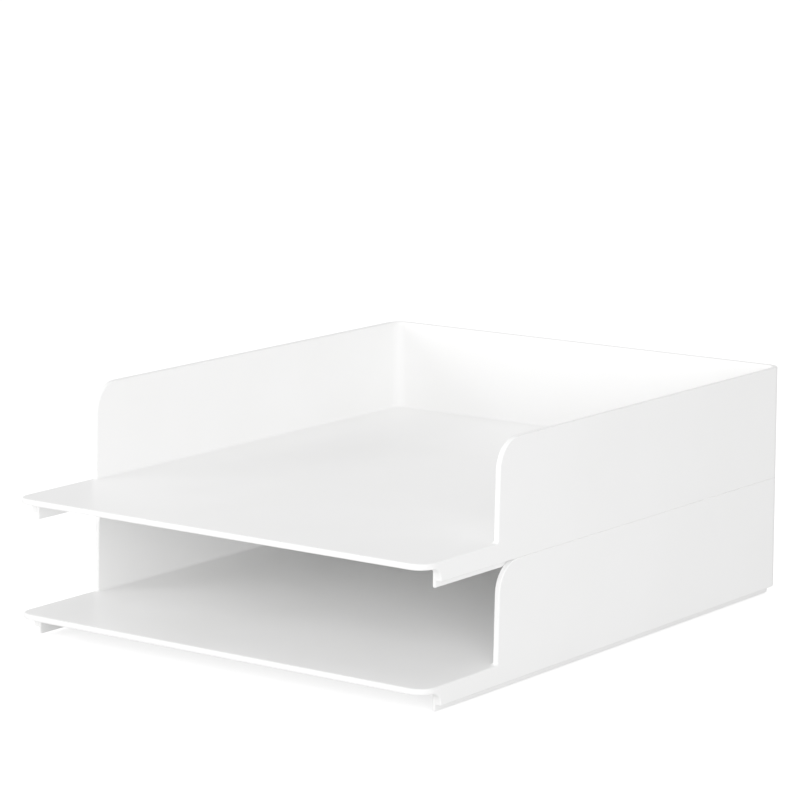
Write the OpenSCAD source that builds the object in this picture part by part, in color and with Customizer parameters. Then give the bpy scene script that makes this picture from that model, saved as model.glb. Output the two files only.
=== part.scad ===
// Two identical letter trays, stacked. Each is one moulding: a flat floor whose front lip runs
// past the side walls, three thin walls, a skirt under the floor and a rim that nests inside
// the walls of the tray below. Push-in rubber feet sit in bosses under each floor.
// X runs across, the front lip faces -Y, Z is up, and Z = 0 is the surface the feet stand on.

/* [Tray] */
// Width across the side walls
tray_w = 254; // [236:1:320]
// Depth from the front lip to the back wall
tray_d = 320; // [300:0.5:360]
// Height that each tray adds to a stack
stack_pitch = 59; // [45:1:90]
// Height of the floor's top above the skirt's lower edge
floor_top = 9.8; // [8:0.1:14]
// Thickness of the floor and its lip
floor_t = 3; // [2:0.1:4]
// Thickness of the walls
wall_t = 3; // [2:0.1:3.5]

/* [Corners] */
// Radius of the upright rear corners, outside
rear_r = 9; // [6.5:0.5:12]
// Radius of the lip's front corners, seen from above
lip_corner_r = 9; // [4:1:20]
// Radius of the side walls' upper front corners
wall_corner_r = 15.5; // [5:0.5:25]
// Radius of the fillet between the floor and the walls
root_r = 1.5; // [1:0.5:4]

/* [Side walls] */
// Distance from the lip's edge back to the side walls, at the floor
wall_setback = 58.7; // [40:0.1:120]
// How far the side walls' front edges lean back over their height
wall_lean = 1.6; // [0:0.1:6]

/* [Nesting rim] */
// Thickness of the rim
rim_t = 1.6; // [1.5:0.1:3]
// How far the rim reaches below the skirt
rim_drop = 3.3; // [2:0.1:6]
// Gap between the rim and the walls that it nests in
nest_gap = 0.3; // [0.2:0.05:0.8]
// Distance from the lip's edge back to the rim's front ends
rim_setback = 12.8; // [8:0.1:30]
// Radius of the rim's lower front corner
rim_nose_r = 0.8; // [0.5:0.1:2]
// Distance from the lip's edge back to the skirt's front ends
skirt_setback = 13; // [8:0.1:30]
// Radius of the fillet between the skirt's front end and the lip
skirt_end_r = 6; // [1:0.5:7]

/* [Feet] */
// Diameter of a rubber foot's flange
foot_d = 13; // [10:0.5:16]
// Thickness of the flange
foot_t = 1.3; // [1:0.1:3]
// How far the feet stand proud of the rim
foot_proud = 0.8; // [0.5:0.1:2]
// Diameter of the stem that is pushed into the boss
stem_d = 10; // [6:0.5:10]
// Length of the stem
stem_len = 5; // [3:0.5:6]
// Outer diameter of the boss
boss_d = 14; // [13.5:0.5:20]
// Clearance round the stem
stem_gap = 0.2; // [0.1:0.05:0.4]
// Distance from the tray's side to a foot's centre
foot_inset = 22; // [20:1:60]
// Distance from the lip's edge to the front feet
foot_front = 70; // [50:1:120]
// Distance from the back wall to the rear feet
foot_rear = 24; // [20:1:60]
// Thickness of the gussets that brace a boss
gusset_t = 1.6; // [1:0.1:2.5]

/* [Hidden] */
$fn = 64;
front_y = -tray_d / 2;
back_y = tray_d / 2;
half_w = tray_w / 2;
wall_top = stack_pitch;
floor_under = floor_top - floor_t;
skirt_t = wall_t + nest_gap;
rim_y = front_y + rim_setback;
skirt_y = front_y + skirt_setback;
rim_bottom = -rim_drop;
foot_bottom = rim_bottom - foot_proud;
boss_bottom = foot_bottom + foot_t;
base_z = -foot_bottom;
lean_angle = atan(wall_lean / (wall_top - floor_top));
// How far joined shapes reach into each other
bite = 0.5;
// How far the walls' round corner reaches past their leaning edge, so that the two cross
weld = 0.01;
gusset_len = 5;
gusset_drop = 2;

// Where the leaning front edge of the side walls is at height z
function wall_front(z) = front_y + wall_setback + (z - floor_top) * tan(lean_angle);

// Position of a foot's centre: end is -1 at the front and 1 at the rear, side -1 at the left
function foot_at(end, side) = [
    side * (half_w - foot_inset),
    end < 0 ? front_y + foot_front : back_y - foot_rear
];

// Outline seen from above, pulled in by inset, with round rear corners and an open front
module plan(inset, from_y) {
    w = half_w - inset;
    y = back_y - inset;
    r = rear_r - inset;
    translate([-w, from_y]) square([2 * w, y - r - from_y]);
    translate([r - w, from_y]) square([2 * (w - r), y - from_y]);
    for (side = [-1, 1]) translate([side * (w - r), y - r]) circle(r = r);
}

// Band of thickness t along both sides and the back
module band(inset, t, from_y) {
    difference() {
        plan(inset, from_y);
        plan(inset + t, from_y - 1);
    }
}

// A shape drawn in the Y-Z plane, extruded across X from x0 to x1
module across(x0, x1) {
    translate([x0, 0, 0]) rotate([90, 0, 90]) linear_extrude(height = x1 - x0) children();
}

// Flat floor with its projecting lip
module floor_slab() {
    translate([0, 0, floor_under]) linear_extrude(height = floor_t) {
        plan(0, front_y + lip_corner_r);
        translate([lip_corner_r - half_w, front_y])
            square([tray_w - 2 * lip_corner_r, lip_corner_r + 1]);
        for (side = [-1, 1])
            translate([side * (half_w - lip_corner_r), front_y + lip_corner_r])
                circle(r = lip_corner_r);
    }
}

// Side view of the walls: leaning front edge, round upper corner and a small concave root
module wall_side_view() {
    cz = wall_top - wall_corner_r;
    cy = wall_front(cz) + wall_corner_r / cos(lean_angle) - weld;
    edge_z = cz + wall_corner_r * sin(lean_angle);
    foot_z = floor_top - bite;
    polygon([
        [wall_front(foot_z), foot_z],
        [wall_front(edge_z), edge_z],
        [cy, cz],
        [cy, wall_top],
        [back_y, wall_top],
        [back_y, foot_z]
    ]);
    translate([cy, cz]) circle(r = wall_corner_r);
    root_z = floor_top + root_r;
    root_y = wall_front(root_z) - root_r / cos(lean_angle);
    difference() {
        polygon([
            [root_y, foot_z],
            [root_y, floor_top],
            [root_y + root_r * cos(lean_angle), root_z - root_r * sin(lean_angle)],
            [wall_front(root_z) + bite, root_z],
            [wall_front(root_z) + bite, foot_z]
        ]);
        translate([root_y, root_z]) circle(r = root_r);
    }
}

// Cross-section of the fillet in an inside corner at the origin, rising along +X and +Y
module fillet_section(r) {
    difference() {
        translate([-bite, -bite]) square(r + bite);
        translate([r, r]) circle(r = r);
    }
}

// Fillets between the floor and the walls, straight runs and the two rear corners
module floor_fillets() {
    inner_w = half_w - wall_t;
    inner_y = back_y - wall_t;
    corner_r = rear_r - wall_t;
    for (side = [0, 1]) mirror([side, 0, 0]) {
        translate([-inner_w, inner_y - corner_r, floor_top]) rotate([90, 0, 0])
            linear_extrude(height = inner_y - corner_r - front_y) fillet_section(root_r);
        intersection() {
            translate([corner_r - inner_w, inner_y - corner_r, floor_top])
                rotate_extrude() intersection() {
                    translate([corner_r, 0]) mirror([1, 0]) fillet_section(root_r);
                    translate([0, -bite]) square([corner_r + bite, root_r + bite]);
                }
            translate([-inner_w - 1, inner_y - corner_r, floor_top - 1])
                cube([corner_r + 1, corner_r + 1, root_r + 2]);
        }
    }
    translate([corner_r - inner_w, inner_y, floor_top]) rotate([90, 0, 90])
        linear_extrude(height = 2 * (inner_w - corner_r)) mirror([1, 0]) fillet_section(root_r);
}

// Left, right and back walls with their fillets, all cut off along the side view
module walls() {
    intersection() {
        union() {
            translate([0, 0, floor_top - bite])
                linear_extrude(height = wall_top - floor_top + bite)
                    band(0, wall_t, front_y);
            floor_fillets();
        }
        across(-half_w - 1, half_w + 1) wall_side_view();
    }
}

// Skirt that carries the outer face of the walls down past the floor
module skirt() {
    linear_extrude(height = floor_under + bite) band(0, skirt_t, skirt_y);
    for (side = [0, 1]) mirror([side, 0, 0])
        across(half_w - skirt_t, half_w)
            translate([skirt_y, floor_under]) mirror([1, 0]) mirror([0, 1]) fillet_section(skirt_end_r);
}

// Rim inside the skirt, which drops between the walls of the tray below
module rim() {
    intersection() {
        translate([0, 0, rim_bottom])
            linear_extrude(height = floor_under + bite - rim_bottom)
                band(skirt_t, rim_t, rim_y);
        across(-half_w, half_w) {
            translate([rim_y, rim_bottom + rim_nose_r]) square([tray_d, floor_under + 1 - rim_bottom]);
            translate([rim_y + rim_nose_r, rim_bottom]) square([tray_d, rim_nose_r + 1]);
            translate([rim_y + rim_nose_r, rim_bottom + rim_nose_r]) circle(r = rim_nose_r);
        }
    }
}

// Tubular boss under the floor, braced by four gussets, that takes one foot's stem
module boss(at) {
    translate([at[0], at[1], 0]) difference() {
        union() {
            translate([0, 0, boss_bottom])
                cylinder(d = boss_d, h = floor_under + bite - boss_bottom);
            for (a = [45:90:315]) rotate([0, 0, a])
                translate([0, -gusset_t / 2, boss_bottom + gusset_drop])
                    cube([boss_d / 2 + gusset_len, gusset_t, floor_under + bite - boss_bottom - gusset_drop]);
        }
        translate([0, 0, boss_bottom - 1])
            cylinder(r = stem_d / 2 + stem_gap, h = floor_under - boss_bottom + 1);
    }
}

// One tray moulding, with its skirt's lower edge at Z = 0
module tray() {
    union() {
        floor_slab();
        walls();
        skirt();
        rim();
        for (end = [-1, 1]) for (side = [-1, 1]) boss(foot_at(end, side));
    }
}

// One push-in rubber foot: a flange with a stem
module foot(level, end, side) {
    at = foot_at(end, side);
    translate([at[0], at[1], base_z + level * stack_pitch]) {
        translate([0, 0, foot_bottom]) cylinder(d = foot_d, h = foot_t);
        translate([0, 0, boss_bottom - bite]) cylinder(d = stem_d, h = stem_len + bite);
    }
}

module lower_tray() {
    color("white") translate([0, 0, base_z]) tray();
}

module upper_tray() {
    color("white") translate([0, 0, base_z + stack_pitch]) tray();
}

module lower_foot_front_left() {
    color("gainsboro") foot(0, -1, -1);
}

module lower_foot_front_right() {
    color("gainsboro") foot(0, -1, 1);
}

module lower_foot_rear_left() {
    color("gainsboro") foot(0, 1, -1);
}

module lower_foot_rear_right() {
    color("gainsboro") foot(0, 1, 1);
}

module upper_foot_front_left() {
    color("gainsboro") foot(1, -1, -1);
}

module upper_foot_front_right() {
    color("gainsboro") foot(1, -1, 1);
}

module upper_foot_rear_left() {
    color("gainsboro") foot(1, 1, -1);
}

module upper_foot_rear_right() {
    color("gainsboro") foot(1, 1, 1);
}

lower_tray();
lower_foot_front_left();
lower_foot_front_right();
lower_foot_rear_left();
lower_foot_rear_right();
upper_tray();
upper_foot_front_left();
upper_foot_front_right();
upper_foot_rear_left();
upper_foot_rear_right();
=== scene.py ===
"""Looks for the stacked pair of letter trays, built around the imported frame.

Lengths are in millimetres, and become metres where a mesh, light or camera is made. Heights in a
tray are above its skirt's lower edge. X runs across, the lips face -Y and Z is up.
"""

import math

import bmesh
import bpy
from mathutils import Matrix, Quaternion, Vector


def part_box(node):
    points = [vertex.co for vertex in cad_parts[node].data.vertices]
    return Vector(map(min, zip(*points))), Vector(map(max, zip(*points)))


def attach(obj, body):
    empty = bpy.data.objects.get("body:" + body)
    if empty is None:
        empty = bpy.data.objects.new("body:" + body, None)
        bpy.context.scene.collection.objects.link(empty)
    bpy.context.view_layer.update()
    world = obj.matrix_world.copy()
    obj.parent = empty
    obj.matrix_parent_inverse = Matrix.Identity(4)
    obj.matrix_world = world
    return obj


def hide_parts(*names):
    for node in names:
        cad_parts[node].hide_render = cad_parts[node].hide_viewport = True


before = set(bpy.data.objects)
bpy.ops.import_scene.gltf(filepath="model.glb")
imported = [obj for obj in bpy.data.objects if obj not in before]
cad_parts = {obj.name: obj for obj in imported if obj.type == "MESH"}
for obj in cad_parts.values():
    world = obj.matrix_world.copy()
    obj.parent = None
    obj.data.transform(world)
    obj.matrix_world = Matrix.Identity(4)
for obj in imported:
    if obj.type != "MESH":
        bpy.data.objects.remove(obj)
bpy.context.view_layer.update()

MM = 0.001
LEVELS = ("lower", "upper")
UP = Vector((0, 0, 1))
DOWN = -UP
FORWARD = Vector((0, -1, 0))

# Heights and thicknesses of one tray
RIM_DROP = 3.3
FLOOR_TOP = 9.8
FLOOR_T = 3
FLOOR_UNDER = FLOOR_TOP - FLOOR_T
WALL_TOP = 59
WALL_T = 3
SKIRT_T = 3.3
RIM_T = 1.6

# Corners, seen from above and from the side
REAR_R = 9
LIP_CORNER_R = 9
WALL_CORNER_R = 15.5
ROOT_R = 1.5
SKIRT_END_R = 6
SKIRT_NOSE_R = 0.6
RIM_NOSE_R = 0.8

# Where the walls, the skirt's hollow end, the skirt and the rim start, behind the lip's edge
WALL_SETBACK = 58.7
WALL_LEAN = 1.6
LEAN = math.atan(WALL_LEAN / (WALL_TOP - FLOOR_TOP))
SKIRT_SETBACK = 13
HOLLOW_SETBACK = SKIRT_SETBACK - SKIRT_END_R
RIM_SETBACK = 12.8

# Radii of the softened edges
LIP_TOP_R = 1.3
LIP_SIDE_R = 0.9
LIP_UNDER_R = 0.8
WALL_FRONT_R = 0.8
WALL_TOP_R = 0.35
WALL_INNER_R = 0.8
SKIRT_EDGE_R = 0.5
RIM_EDGE_R = 0.6
SMALL_EDGE_R = 0.35

# Bosses under the floor, with the gussets that brace them
GUSSETS = 4
BOSS_R = 7
BOSS_BORE_R = 5.2
BOSS_BOTTOM = -2.8
GUSSET_T = 1.6
GUSSET_LEN = 5
GUSSET_BOTTOM = BOSS_BOTTOM + 2
GUSSET_NOSE_R = 1.5

# Moulding marks on the floor's underside
EJECTOR_X = 70
EJECTOR_YS = (-110, 0, 110)
EJECTOR_R = 4
EJECTOR_PROUD = 0.12
GATE_Y = 20
GATE_R = 2.2
GATE_PROUD = 0.4

# How far one shape reaches into the next
BITE = 0.5

EDGE_STEPS = 5
ROUND_STEPS = 16
LATHE_STEPS = 48
SHARP_ANGLE = math.radians(35)


# ---------------------------------------------------------------- camera

# The camera's direction, and how far right of and above the seam's middle it aims
AZIMUTH = math.radians(36.58)
ELEVATION = math.radians(10.3)
ROLL = math.radians(0.096)
DISTANCE = 1799
LENS = 157.35
AIM_RIGHT = -4.75
AIM_UP = 49.08


def make_camera():
    """Camera at the photograph's angle, which sees the open front and the right side."""
    seam = Vector((0, 0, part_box("upper_tray")[0].z + RIM_DROP * MM))
    back = Vector(
        (
            math.sin(AZIMUTH) * math.cos(ELEVATION),
            -math.cos(AZIMUTH) * math.cos(ELEVATION),
            math.sin(ELEVATION),
        )
    )
    right = Vector((math.cos(AZIMUTH), math.sin(AZIMUTH), 0))
    offset = right * AIM_RIGHT + back.cross(right) * AIM_UP + back * DISTANCE
    data = bpy.data.cameras.new("camera")
    data.sensor_width = 36
    data.lens = LENS
    data.clip_start = 0.05
    data.clip_end = 50
    camera = bpy.data.objects.new("camera", data)
    camera.rotation_mode = "QUATERNION"
    upright = (-back).to_track_quat("-Z", "Y")
    camera.rotation_quaternion = Quaternion(back, ROLL) @ upright
    camera.location = seam + offset * MM
    bpy.context.scene.collection.objects.link(camera)
    bpy.context.scene.camera = camera


# ---------------------------------------------------------------- mesh building


class Skin:
    """Faces in millimetres that share equal corners, made into one mesh at the end."""

    def __init__(self):
        self.index = {}
        self.points = []
        self.faces = []
        self.worn = []

    def corner(self, point):
        key = tuple(round(value, 4) for value in point)
        if key not in self.index:
            self.index[key] = len(self.points)
            self.points.append(point)
        return self.index[key]

    def polygon(self, points, worn=0):
        """One face, without the corners that repeat; worn is 1 on an edge that hands rub."""
        corners = []
        for point in points:
            corner = self.corner(point)
            if corner not in corners[-1:]:
                corners.append(corner)
        if corners[0] == corners[-1]:
            corners.pop()
        if len(corners) > 2:
            self.faces.append(corners)
            self.worn.append(worn)

    def grid(self, rows, worn=0):
        """Quads between rows of points, each row as long as the next."""
        for row, after in zip(rows, rows[1:]):
            for i in range(len(row) - 1):
                self.polygon((row[i], row[i + 1], after[i + 1], after[i]), worn)

    def mirror(self):
        """The same faces again on the other side of X = 0."""
        for face, worn in list(zip(self.faces, self.worn)):
            points = [self.points[corner] for corner in reversed(face)]
            self.polygon([Vector((-p.x, p.y, p.z)) for p in points], worn)

    def lathe(self, profile, centre):
        """A profile of (radius, height) points, turned about a vertical axis."""
        rows = []
        for step in range(LATHE_STEPS + 1):
            out = turned(2 * math.pi * (step % LATHE_STEPS) / LATHE_STEPS)
            rows.append([centre + out * radius + UP * height for radius, height in profile])
        self.grid(rows)

    def piece(self, name, lift):
        """A smooth shaded object of all the faces, raised by lift."""
        mesh = bpy.data.meshes.new(name)
        mesh.from_pydata([(p + UP * lift) * MM for p in self.points], [], self.faces)
        mesh.attributes.new("worn", "FLOAT", "FACE").data.foreach_set("value", self.worn)
        bm = bmesh.new()
        bm.from_mesh(mesh)
        bmesh.ops.recalc_face_normals(bm, faces=bm.faces)
        bm.to_mesh(mesh)
        bm.free()
        mesh.shade_smooth()
        mesh.set_sharp_from_angle(angle=SHARP_ANGLE)
        piece = bpy.data.objects.new(name, mesh)
        bpy.context.scene.collection.objects.link(piece)
        normals = piece.modifiers.new("normals", "WEIGHTED_NORMAL")
        normals.keep_sharp = True
        normals.weight = 100
        return piece


class Station:
    """A point on a sharp corner line, the directions of its two surfaces and the edge's radius."""

    def __init__(self, point, out, up, radius):
        self.point = point
        self.out = out
        self.up = up
        self.radius = radius

    def at(self, out, up):
        return self.point + self.out * out + self.up * up

    def edge(self):
        """Cross-section of the softened edge, from the upper surface to the outer one."""
        r = self.radius
        return [self.at(r * (math.sin(a) - 1), r * (math.cos(a) - 1)) for a in quarter()]

    def inner_edge(self, thickness, radius):
        """The same on the inside of a wall, from the upper surface to the inner one."""
        return [
            self.at(radius * (1 - math.sin(a)) - thickness, radius * (math.cos(a) - 1))
            for a in quarter()
        ]


def quarter():
    """Angles from 0 to a right angle, for a softened edge."""
    return [math.pi / 2 * step / EDGE_STEPS for step in range(EDGE_STEPS + 1)]


def angles(start, stop):
    """Angles from start to stop in degrees, as radians, for a round corner."""
    step = (stop - start) / ROUND_STEPS
    return [math.radians(start + step * i) for i in range(ROUND_STEPS + 1)]


def mix(a, b, share):
    return a + (b - a) * share


def turned(a):
    """Level direction at an angle from +X."""
    return Vector((math.cos(a), math.sin(a), 0))


def ends(rows, column):
    """One point of each row."""
    return [row[column] for row in rows]


def arc(centre, along, up, radius, start, stop, hollow, out, edge_rs):
    """Stations along an arc in the plane of along and up; a hollow arc's surface faces inward."""
    stations = []
    for step, a in enumerate(angles(start, stop)):
        direction = along * math.cos(a) + up * math.sin(a)
        edge_r = mix(edge_rs[0], edge_rs[1], step / ROUND_STEPS)
        facing = -direction if hollow else direction
        stations.append(Station(centre + direction * radius, out, facing, edge_r))
    return stations


def add_fin(skin, stations, thickness):
    """Both softened edges and the outer surface of a fin or rim, as rows across its thickness."""
    rows = [s.edge()[::-1] + s.inner_edge(thickness, s.radius) for s in stations]
    skin.grid(rows)
    return rows


# ---------------------------------------------------------------- tray moulding


class Outline:
    """The right half of a tray's outline and its corner lines, from the front to the back."""

    def __init__(self, half, front, back):
        self.half = half
        self.front = front
        self.back = back
        self.rear_y = back - REAR_R

    def wall_front(self, z):
        """Y of the side walls' leaning front edge."""
        return self.front + WALL_SETBACK + (z - FLOOR_TOP) * math.tan(LEAN)

    def lip(self, z, up, front_r, side_r):
        """Stations round the lip, from the middle of its front to the start of its side."""
        centre = Vector((self.half - LIP_CORNER_R, self.front + LIP_CORNER_R, z))
        stations = [Station(Vector((0, self.front, z)), FORWARD, up, front_r)]
        for step, a in enumerate(angles(-90, 0)):
            radius = mix(front_r, side_r, step / ROUND_STEPS)
            stations.append(Station(centre + turned(a) * LIP_CORNER_R, turned(a), up, radius))
        return stations

    def rear(self, z, up, radius):
        """Stations round the rear corner to the middle of the back."""
        centre = Vector((self.half - REAR_R, self.rear_y, z))
        stations = [
            Station(centre + turned(a) * REAR_R, turned(a), up, radius) for a in angles(0, 90)
        ]
        stations.append(Station(Vector((0, self.back, z)), -FORWARD, up, radius))
        return stations

    def side_arc(self, y, z, radius, start, stop, hollow, edge_rs):
        """Stations along an arc of the side view."""
        centre = Vector((self.half, y, z))
        return arc(centre, -FORWARD, UP, radius, start, stop, hollow, turned(0), edge_rs)

    def wall_root(self):
        """Stations up the hollow root in front of a side wall."""
        z = FLOOR_TOP + ROOT_R
        y = self.wall_front(z) - ROOT_R / math.cos(LEAN)
        stop = -math.degrees(LEAN)
        return self.side_arc(y, z, ROOT_R, -90, stop, True, (LIP_SIDE_R, WALL_FRONT_R))

    def wall_corner(self):
        """Stations round the upper front corner of a side wall."""
        z = WALL_TOP - WALL_CORNER_R
        y = self.wall_front(z) + WALL_CORNER_R / math.cos(LEAN)
        start = 180 - math.degrees(LEAN)
        return self.side_arc(y, z, WALL_CORNER_R, start, 90, False, (WALL_FRONT_R, WALL_TOP_R))

    def lip_under(self):
        """Stations round the lip's underside, the last of them down the skirt's hollow end."""
        stations = self.lip(FLOOR_UNDER, DOWN, LIP_UNDER_R, LIP_UNDER_R)
        for station in stations:
            run = station.point.y - self.front - HOLLOW_SETBACK
            if run > 0:
                a = math.acos(run / SKIRT_END_R)
                station.point.z -= SKIRT_END_R * (1 - math.sin(a))
                station.up = FORWARD * math.cos(a) + DOWN * math.sin(a)
        return stations

    def rail(self):
        """Stations from the lip's corner down the hollow end of the skirt to its lower edge."""
        y = self.front + HOLLOW_SETBACK
        z = FLOOR_UNDER - SKIRT_END_R
        start = math.degrees(math.acos((LIP_CORNER_R - HOLLOW_SETBACK) / SKIRT_END_R))
        edge_rs = (LIP_UNDER_R, SKIRT_EDGE_R)
        hollow = self.side_arc(y, z, SKIRT_END_R, start, 0, True, edge_rs)
        y = self.front + SKIRT_SETBACK + SKIRT_NOSE_R
        edge_rs = (SKIRT_EDGE_R, SKIRT_EDGE_R)
        nose = self.side_arc(y, SKIRT_NOSE_R, SKIRT_NOSE_R, 180, 270, False, edge_rs)
        return hollow + nose

    def inside_row(self, inset, start_y, z):
        """Points at one height along the inside of a side wall, round the corner and the back."""
        radius = REAR_R - inset
        centre = Vector((self.half - REAR_R, self.rear_y, z))
        points = [Vector((self.half - inset, start_y, z))]
        points += [centre + turned(a) * radius for a in angles(0, 90)]
        points.append(Vector((0, self.back - inset, z)))
        return points

    def foot_row(self, station):
        """Points round the inner front corner of a wall's foot, at the height of a root station."""
        y, z = station.point.yz
        gap = self.wall_front(z) - y
        rise = (FLOOR_TOP + ROOT_R - z) / ROOT_R
        inset = ROOT_R * (1 - math.sqrt(max(0, 1 - rise * rise)))
        corner = Vector((self.half - WALL_T + WALL_INNER_R, y + gap + WALL_INNER_R, z))
        across = Vector((WALL_INNER_R + inset, 0, 0))
        along = Vector((0, WALL_INNER_R + gap, 0))
        return [corner - across * math.sin(a) - along * math.cos(a) for a in quarter()]


def add_top_side(skin, outline):
    """Upper side of the floor and the walls. Returns the rows of its outer edge."""
    lip = outline.lip(FLOOR_TOP, UP, LIP_TOP_R, LIP_SIDE_R)
    root = outline.wall_root()
    corner = outline.wall_corner()
    crest = outline.rear(WALL_TOP, UP, WALL_TOP_R)
    edges = [station.edge() for station in lip + root + corner + crest]
    skin.grid(edges, worn=1)
    wall = root + corner + crest
    skin.grid([[s.edge()[0], s.at(WALL_INNER_R - WALL_T, 0)] for s in wall])

    foot = [outline.foot_row(station) for station in root]
    skin.grid(foot)
    inner = foot[-1:] + [s.inner_edge(WALL_T, WALL_INNER_R) for s in corner + crest]
    skin.grid(inner, worn=1)
    fillet = [
        outline.inside_row(outline.half - row[-1].x, row[-1].y, row[-1].z) for row in foot
    ]
    skin.grid(fillet)

    side = len(corner) + 2
    skin.polygon(ends(inner[:side], -1) + fillet[-1][1::-1])
    skin.grid([fillet[-1][1:], ends(inner[side - 1 :], -1)])
    middle = Vector((0, outline.front + LIP_TOP_R, FLOOR_TOP))
    skin.polygon([middle] + ends(edges[: len(lip) + 1], 0) + foot[0] + fillet[0])
    return edges


def add_underside(skin, outline):
    """Underside of the lip, the skirt and the floor. Returns the rows of its outer edge."""
    lip = outline.lip_under()
    side = lip + outline.rail()
    base = outline.rear(0, DOWN, SKIRT_EDGE_R)
    edges = [station.edge() for station in side + base]
    skin.grid(edges)

    # the skirt starts at the last level station, and its inner face lies against the rim
    flat = [station.up for station in lip].count(DOWN)
    inner = [Vector((outline.half - SKIRT_T, *s.point.yz)) for s in side[flat - 1 :]]
    back = [s.at(-SKIRT_T, 0) for s in base]
    skin.grid([ends(edges[flat - 1 :], 0), inner + back])
    floor_row = outline.inside_row(SKIRT_T, inner[0].y, FLOOR_UNDER)
    skin.polygon(inner + back[:1] + [floor_row[1]])
    skin.grid([back, floor_row[1:]])
    skin.polygon(ends(edges[:flat], 0) + floor_row)
    return edges


def add_outer_faces(skin, high, low):
    """Lip's edge, side, rear corner and back, between the upper and the lower edge rows."""
    lip = ROUND_STEPS + 2
    rear = ROUND_STEPS + 2
    high_line = ends(high, -1)
    low_line = ends(low, -1)
    skin.grid([high_line[:lip], low_line[:lip]])
    skin.polygon(high_line[lip - 1 : 1 - rear] + low_line[lip - 1 : 1 - rear][::-1])
    skin.grid([high_line[-rear:], low_line[-rear:]])


def add_rim(skin, outline):
    """The rim inside the skirt, which nests in the walls of the tray below."""
    top = FLOOR_UNDER + BITE
    y = outline.front + RIM_SETBACK
    edge_rs = (RIM_EDGE_R, RIM_EDGE_R)
    start = Station(Vector((outline.half, y, top)), turned(0), FORWARD, RIM_EDGE_R)
    nose_z = RIM_NOSE_R - RIM_DROP
    nose = outline.side_arc(y + RIM_NOSE_R, nose_z, RIM_NOSE_R, 180, 270, False, edge_rs)
    base = outline.rear(-RIM_DROP, DOWN, RIM_EDGE_R)
    stations = [
        Station(s.at(-SKIRT_T, 0), s.out, s.up, s.radius) for s in [start] + nose + base
    ]
    rows = add_fin(skin, stations, RIM_T)
    side = len(nose) + 2
    outer = outline.inside_row(SKIRT_T, rows[0][0].y, top)
    inner = outline.inside_row(SKIRT_T + RIM_T, rows[0][-1].y, top)
    for line, column in ((outer, 0), (inner, -1)):
        skin.polygon(ends(rows[:side], column) + [line[1]])
        skin.grid([ends(rows[side - 1 :], column), line[1:]])
    skin.polygon(rows[0] + [inner[1], outer[1]])
    skin.grid([outer[1:], inner[1:]])


def add_boss(skin, centre):
    """Tubular boss under the floor and the gussets that brace it."""
    top = FLOOR_UNDER + BITE
    r = SMALL_EDGE_R
    outer = [(BOSS_R - r + r * math.cos(a), BOSS_BOTTOM + r - r * math.sin(a)) for a in quarter()]
    inner = [
        (BOSS_BORE_R + r - r * math.sin(a), BOSS_BOTTOM + r - r * math.cos(a)) for a in quarter()
    ]
    skin.lathe([(BOSS_R, top)] + outer + inner + [(BOSS_BORE_R, top), (BOSS_R, top)], centre)
    for number in range(GUSSETS):
        out = turned(2 * math.pi * (number + 0.5) / GUSSETS)
        across = UP.cross(out)
        low = centre + across * (GUSSET_T / 2) + UP * GUSSET_BOTTOM
        near = Station(low + out * (BOSS_R - BITE), across, DOWN, SMALL_EDGE_R)
        bend = low + out * (BOSS_R + GUSSET_LEN - GUSSET_NOSE_R) + UP * GUSSET_NOSE_R
        edge_rs = (SMALL_EDGE_R, SMALL_EDGE_R)
        nose = arc(bend, out, UP, GUSSET_NOSE_R, -90, 0, False, across, edge_rs)
        tip = nose[-1].point
        far = Station(tip + UP * (centre.z + top - tip.z), across, out, SMALL_EDGE_R)
        rows = add_fin(skin, [near] + nose + [far], GUSSET_T)
        rise = UP * (centre.z + top - near.point.z)
        roof = [near.point + rise, near.at(-GUSSET_T, 0) + rise]
        skin.polygon(ends(rows, 0) + [roof[0]])
        skin.polygon(ends(rows, -1) + [roof[1]])
        skin.polygon(rows[0] + roof[::-1])
        skin.polygon(rows[-1] + roof[::-1])


def add_mark(skin, centre, radius, proud):
    """Low round moulding mark that stands proud of the floor's underside."""
    low = FLOOR_UNDER - proud
    chamfer = proud / 2
    profile = [
        (0, FLOOR_UNDER + BITE),
        (radius, FLOOR_UNDER + BITE),
        (radius, low + chamfer),
        (radius - chamfer, low),
        (0, low),
    ]
    skin.lathe(profile, centre)


def boss_centres(level):
    """Centres of a tray's right-hand bosses, from the feet that they hold."""
    centres = []
    for end in ("front", "rear"):
        low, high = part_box(f"{level}_foot_{end}_right")
        middle = (low + high) / 2 / MM
        centres.append(Vector((middle.x, middle.y, 0)))
    return centres


def make_tray(level, material):
    node = f"{level}_tray"
    low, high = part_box(node)
    outline = Outline(high.x / MM, low.y / MM, high.y / MM)
    skin = Skin()
    high_edges = add_top_side(skin, outline)
    low_edges = add_underside(skin, outline)
    add_outer_faces(skin, high_edges, low_edges)
    add_rim(skin, outline)
    for centre in boss_centres(level):
        add_boss(skin, centre)
    for y in EJECTOR_YS:
        add_mark(skin, Vector((EJECTOR_X, y, 0)), EJECTOR_R, EJECTOR_PROUD)
    skin.mirror()
    add_mark(skin, Vector((0, GATE_Y, 0)), GATE_R, GATE_PROUD)
    piece = skin.piece(f"{node}_moulding", low.z / MM + RIM_DROP)
    piece.data.materials.append(material)
    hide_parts(node)
    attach(piece, level)


# ---------------------------------------------------------------- feet

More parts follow.
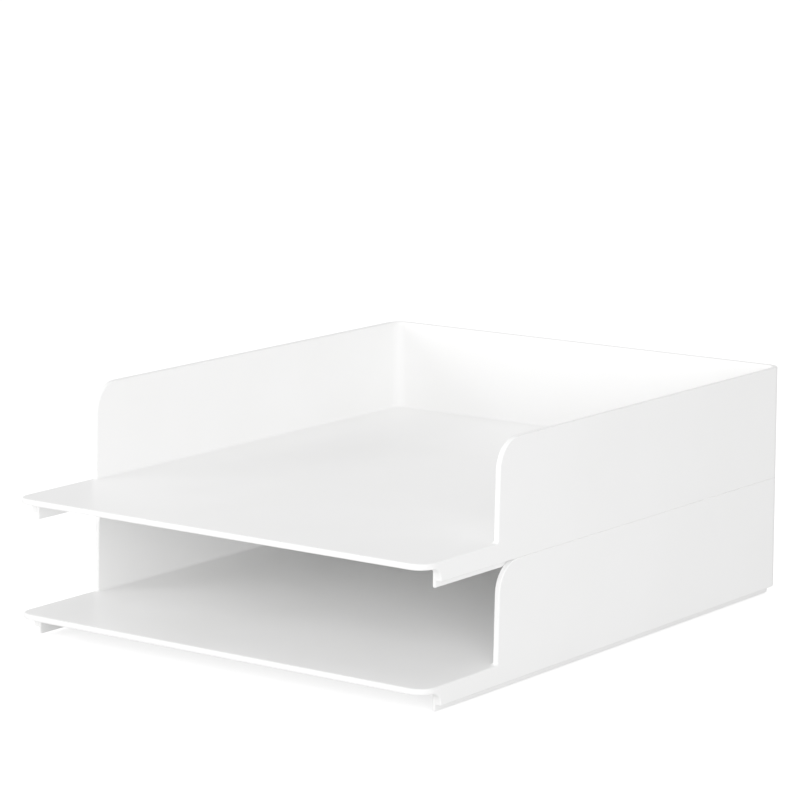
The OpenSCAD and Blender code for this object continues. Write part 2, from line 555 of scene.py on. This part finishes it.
# Profile of a rubber foot: (radius, height above its tread), from the tread's middle to the stem
FOOT_PROFILE = (
    (0, 0.4),
    (3.0, 0.4),
    (3.4, 0.1),
    (3.6, 0),
    (4.5, 0),
    (4.7, 0.25),
    (5.1, 0.25),
    (5.3, 0),
    (6.1, 0),
    (6.38, 0.12),
    (6.5, 0.4),
    (6.5, 0.9),
    (6.38, 1.18),
    (6.1, 1.3),
    (5.0, 1.3),
    (4.8, 1.5),
    (4.8, 2.6),
    (5.0, 3.0),
    (4.8, 3.4),
    (4.8, 4.4),
    (5.0, 4.8),
    (4.8, 5.2),
    (4.3, 6.1),
    (4.0, 6.3),
    (0, 6.3),
)


def make_foot(node, level, material):
    low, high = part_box(node)
    middle = (low + high) / 2 / MM
    skin = Skin()
    skin.lathe(FOOT_PROFILE, Vector((middle.x, middle.y, 0)))
    piece = skin.piece(f"{node}_pad", low.z / MM)
    piece.data.materials.append(material)
    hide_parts(node)
    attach(piece, level)


# ---------------------------------------------------------------- materials


def new_material(name):
    """A node material with one Principled shader, returned with its node tree's parts."""
    material = bpy.data.materials.new(name)
    material.use_nodes = True
    nodes = material.node_tree.nodes
    links = material.node_tree.links
    return material, nodes, links, nodes["Principled BSDF"]


def add(nodes, kind, **values):
    """A node with its properties or named inputs set."""
    node = nodes.new(kind)
    for key, value in values.items():
        if key in node.inputs:
            node.inputs[key].default_value = value
        else:
            setattr(node, key, value)
    return node


def noise(nodes, links, vector, scale, detail):
    """Noise over object coordinates, with scale in cells per metre."""
    node = add(nodes, "ShaderNodeTexNoise", Scale=scale, Detail=detail)
    links.new(vector, node.inputs["Vector"])
    return node.outputs["Fac"]


def remap(nodes, links, value, from_range, to_range):
    node = add(nodes, "ShaderNodeMapRange")
    node.inputs["From Min"].default_value, node.inputs["From Max"].default_value = from_range
    node.inputs["To Min"].default_value, node.inputs["To Max"].default_value = to_range
    links.new(value, node.inputs["Value"])
    return node.outputs["Result"]


def two_tone(nodes, links, value, from_range, dark, light):
    node = add(nodes, "ShaderNodeValToRGB")
    for element, position, colour in zip(node.color_ramp.elements, from_range, (dark, light)):
        element.position = position
        element.color = (*colour, 1)
    links.new(value, node.inputs["Fac"])
    return node.outputs["Color"]


def total(nodes, links, first, second):
    node = add(nodes, "ShaderNodeMath", operation="ADD")
    links.new(first, node.inputs[0])
    links.new(second, node.inputs[1])
    return node.outputs["Value"]


def bump(nodes, links, height, depth, before=None):
    """Bump of a height from 0 to 1 over depth millimetres, on top of an earlier one."""
    node = add(nodes, "ShaderNodeBump", Strength=1, Distance=depth * MM)
    links.new(height, node.inputs["Height"])
    if before:
        links.new(before, node.inputs["Normal"])
    return node.outputs["Normal"]


def tray_plastic():
    """White moulded ABS: fine spark-eroded grain, slight waviness, edges polished by handling."""
    material, nodes, links, shader = new_material("tray_plastic")
    place = add(nodes, "ShaderNodeTexCoord").outputs["Object"]

    cloud = noise(nodes, links, place, 14, 3)
    warm = (0.908, 0.908, 0.901)
    cool = (0.926, 0.926, 0.923)
    colour = two_tone(nodes, links, cloud, (0.35, 0.65), warm, cool)
    links.new(colour, shader.inputs["Base Color"])

    # rubbing by paper, in streaks that run from front to back
    stretch = add(nodes, "ShaderNodeMapping")
    stretch.inputs["Scale"].default_value = (1, 0.03, 1)
    links.new(place, stretch.inputs["Vector"])
    streaks = noise(nodes, links, stretch.outputs["Vector"], 420, 2)
    rubbed = remap(nodes, links, streaks, (0.45, 0.75), (0, -0.05))
    patches = noise(nodes, links, place, 70, 4)
    base = remap(nodes, links, patches, (0.3, 0.7), (0.34, 0.42))
    worn = add(nodes, "ShaderNodeAttribute", attribute_name="worn").outputs["Fac"]
    polish = remap(nodes, links, worn, (0, 1), (0, -0.07))
    roughness = total(nodes, links, total(nodes, links, base, rubbed), polish)
    links.new(roughness, shader.inputs["Roughness"])

    wave = bump(nodes, links, noise(nodes, links, place, 22, 1), 0.08)
    grain = bump(nodes, links, noise(nodes, links, place, 1900, 2), 0.006, wave)
    links.new(grain, shader.inputs["Normal"])
    return material


def foot_rubber():
    """Light grey rubber with a matt, slightly dusty skin."""
    material, nodes, links, shader = new_material("foot_rubber")
    place = add(nodes, "ShaderNodeTexCoord").outputs["Object"]
    dust = noise(nodes, links, place, 350, 5)
    clean = (0.46, 0.46, 0.45)
    dusty = (0.56, 0.56, 0.545)
    colour = two_tone(nodes, links, dust, (0.4, 0.75), clean, dusty)
    links.new(colour, shader.inputs["Base Color"])
    roughness = remap(nodes, links, noise(nodes, links, place, 900, 3), (0.3, 0.7), (0.66, 0.86))
    links.new(roughness, shader.inputs["Roughness"])
    grain = bump(nodes, links, noise(nodes, links, place, 2600, 3), 0.03)
    links.new(grain, shader.inputs["Normal"])
    shader.inputs["Specular IOR Level"].default_value = 0.35
    return material


# ---------------------------------------------------------------- stage and light

FLOOR_SIZE = 12
FLOOR_GLOW = 0.6
ROOM_LIGHT = 0.46
VIEW_GAMMA = 1.7
LIGHT_AIM = (0, 0, 0.06)
# Name, place and size in metres, and power in watts
SOFTBOXES = (
    ("right_front_softbox", (1.9, -2, 1), (1.6, 1.4), 19),
    ("left_front_softbox", (-1.8, -2, 0.9), (1.6, 1.4), 29),
    ("low_fill", (1.8, -2, 0.4), (1.6, 0.7), 20),
    ("left_fill", (-2.6, 0.2, 1.2), (1.6, 1.4), 10),
    ("top_softbox", (0, 0, 2.4), (2.2, 2.2), 8),
)


def make_floor():
    """Plain white floor that glows in the picture but not on the object."""
    bpy.ops.mesh.primitive_plane_add(size=FLOOR_SIZE, location=(0, 0, 0))
    floor = bpy.context.object
    floor.name = "floor"
    material, nodes, links, shader = new_material("floor_paint")
    shader.inputs["Base Color"].default_value = (0.93, 0.93, 0.93, 1)
    shader.inputs["Roughness"].default_value = 0.9
    shader.inputs["Emission Color"].default_value = (1, 1, 1, 1)
    shader.inputs["Emission Strength"].default_value = FLOOR_GLOW
    dim = add(nodes, "ShaderNodeBsdfDiffuse", Color=(0.75, 0.75, 0.75, 1))
    blend = add(nodes, "ShaderNodeMixShader")
    links.new(add(nodes, "ShaderNodeLightPath").outputs["Is Camera Ray"], blend.inputs["Fac"])
    links.new(dim.outputs["BSDF"], blend.inputs[1])
    links.new(shader.outputs["BSDF"], blend.inputs[2])
    links.new(blend.outputs["Shader"], nodes["Material Output"].inputs["Surface"])
    floor.data.materials.append(material)


def area_light(name, location, size, watts):
    """Soft light, turned towards the object."""
    data = bpy.data.lights.new(name, "AREA")
    data.shape = "RECTANGLE"
    data.size, data.size_y = size
    data.energy = watts
    light = bpy.data.objects.new(name, data)
    light.location = location
    direction = Vector(LIGHT_AIM) - Vector(location)
    light.rotation_euler = direction.to_track_quat("-Z", "Y").to_euler()
    bpy.context.scene.collection.objects.link(light)


def make_light():
    """Soft lights in front and above, and a weak one on the left, in a white room."""
    scene = bpy.context.scene
    scene.view_settings.view_transform = "Standard"
    scene.view_settings.look = "None"
    scene.view_settings.gamma = VIEW_GAMMA
    world = bpy.data.worlds.new("studio")
    world.use_nodes = True
    world.node_tree.nodes["Background"].inputs["Color"].default_value = (1, 1, 1, 1)
    world.node_tree.nodes["Background"].inputs["Strength"].default_value = ROOM_LIGHT
    scene.world = world
    for name, location, size, watts in SOFTBOXES:
        area_light(name, location, size, watts)


make_camera()
make_floor()
make_light()
plastic = tray_plastic()
rubber = foot_rubber()
for level in LEVELS:
    make_tray(level, plastic)
    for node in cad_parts:
        if node.startswith(f"{level}_foot"):
            make_foot(node, level, rubber)
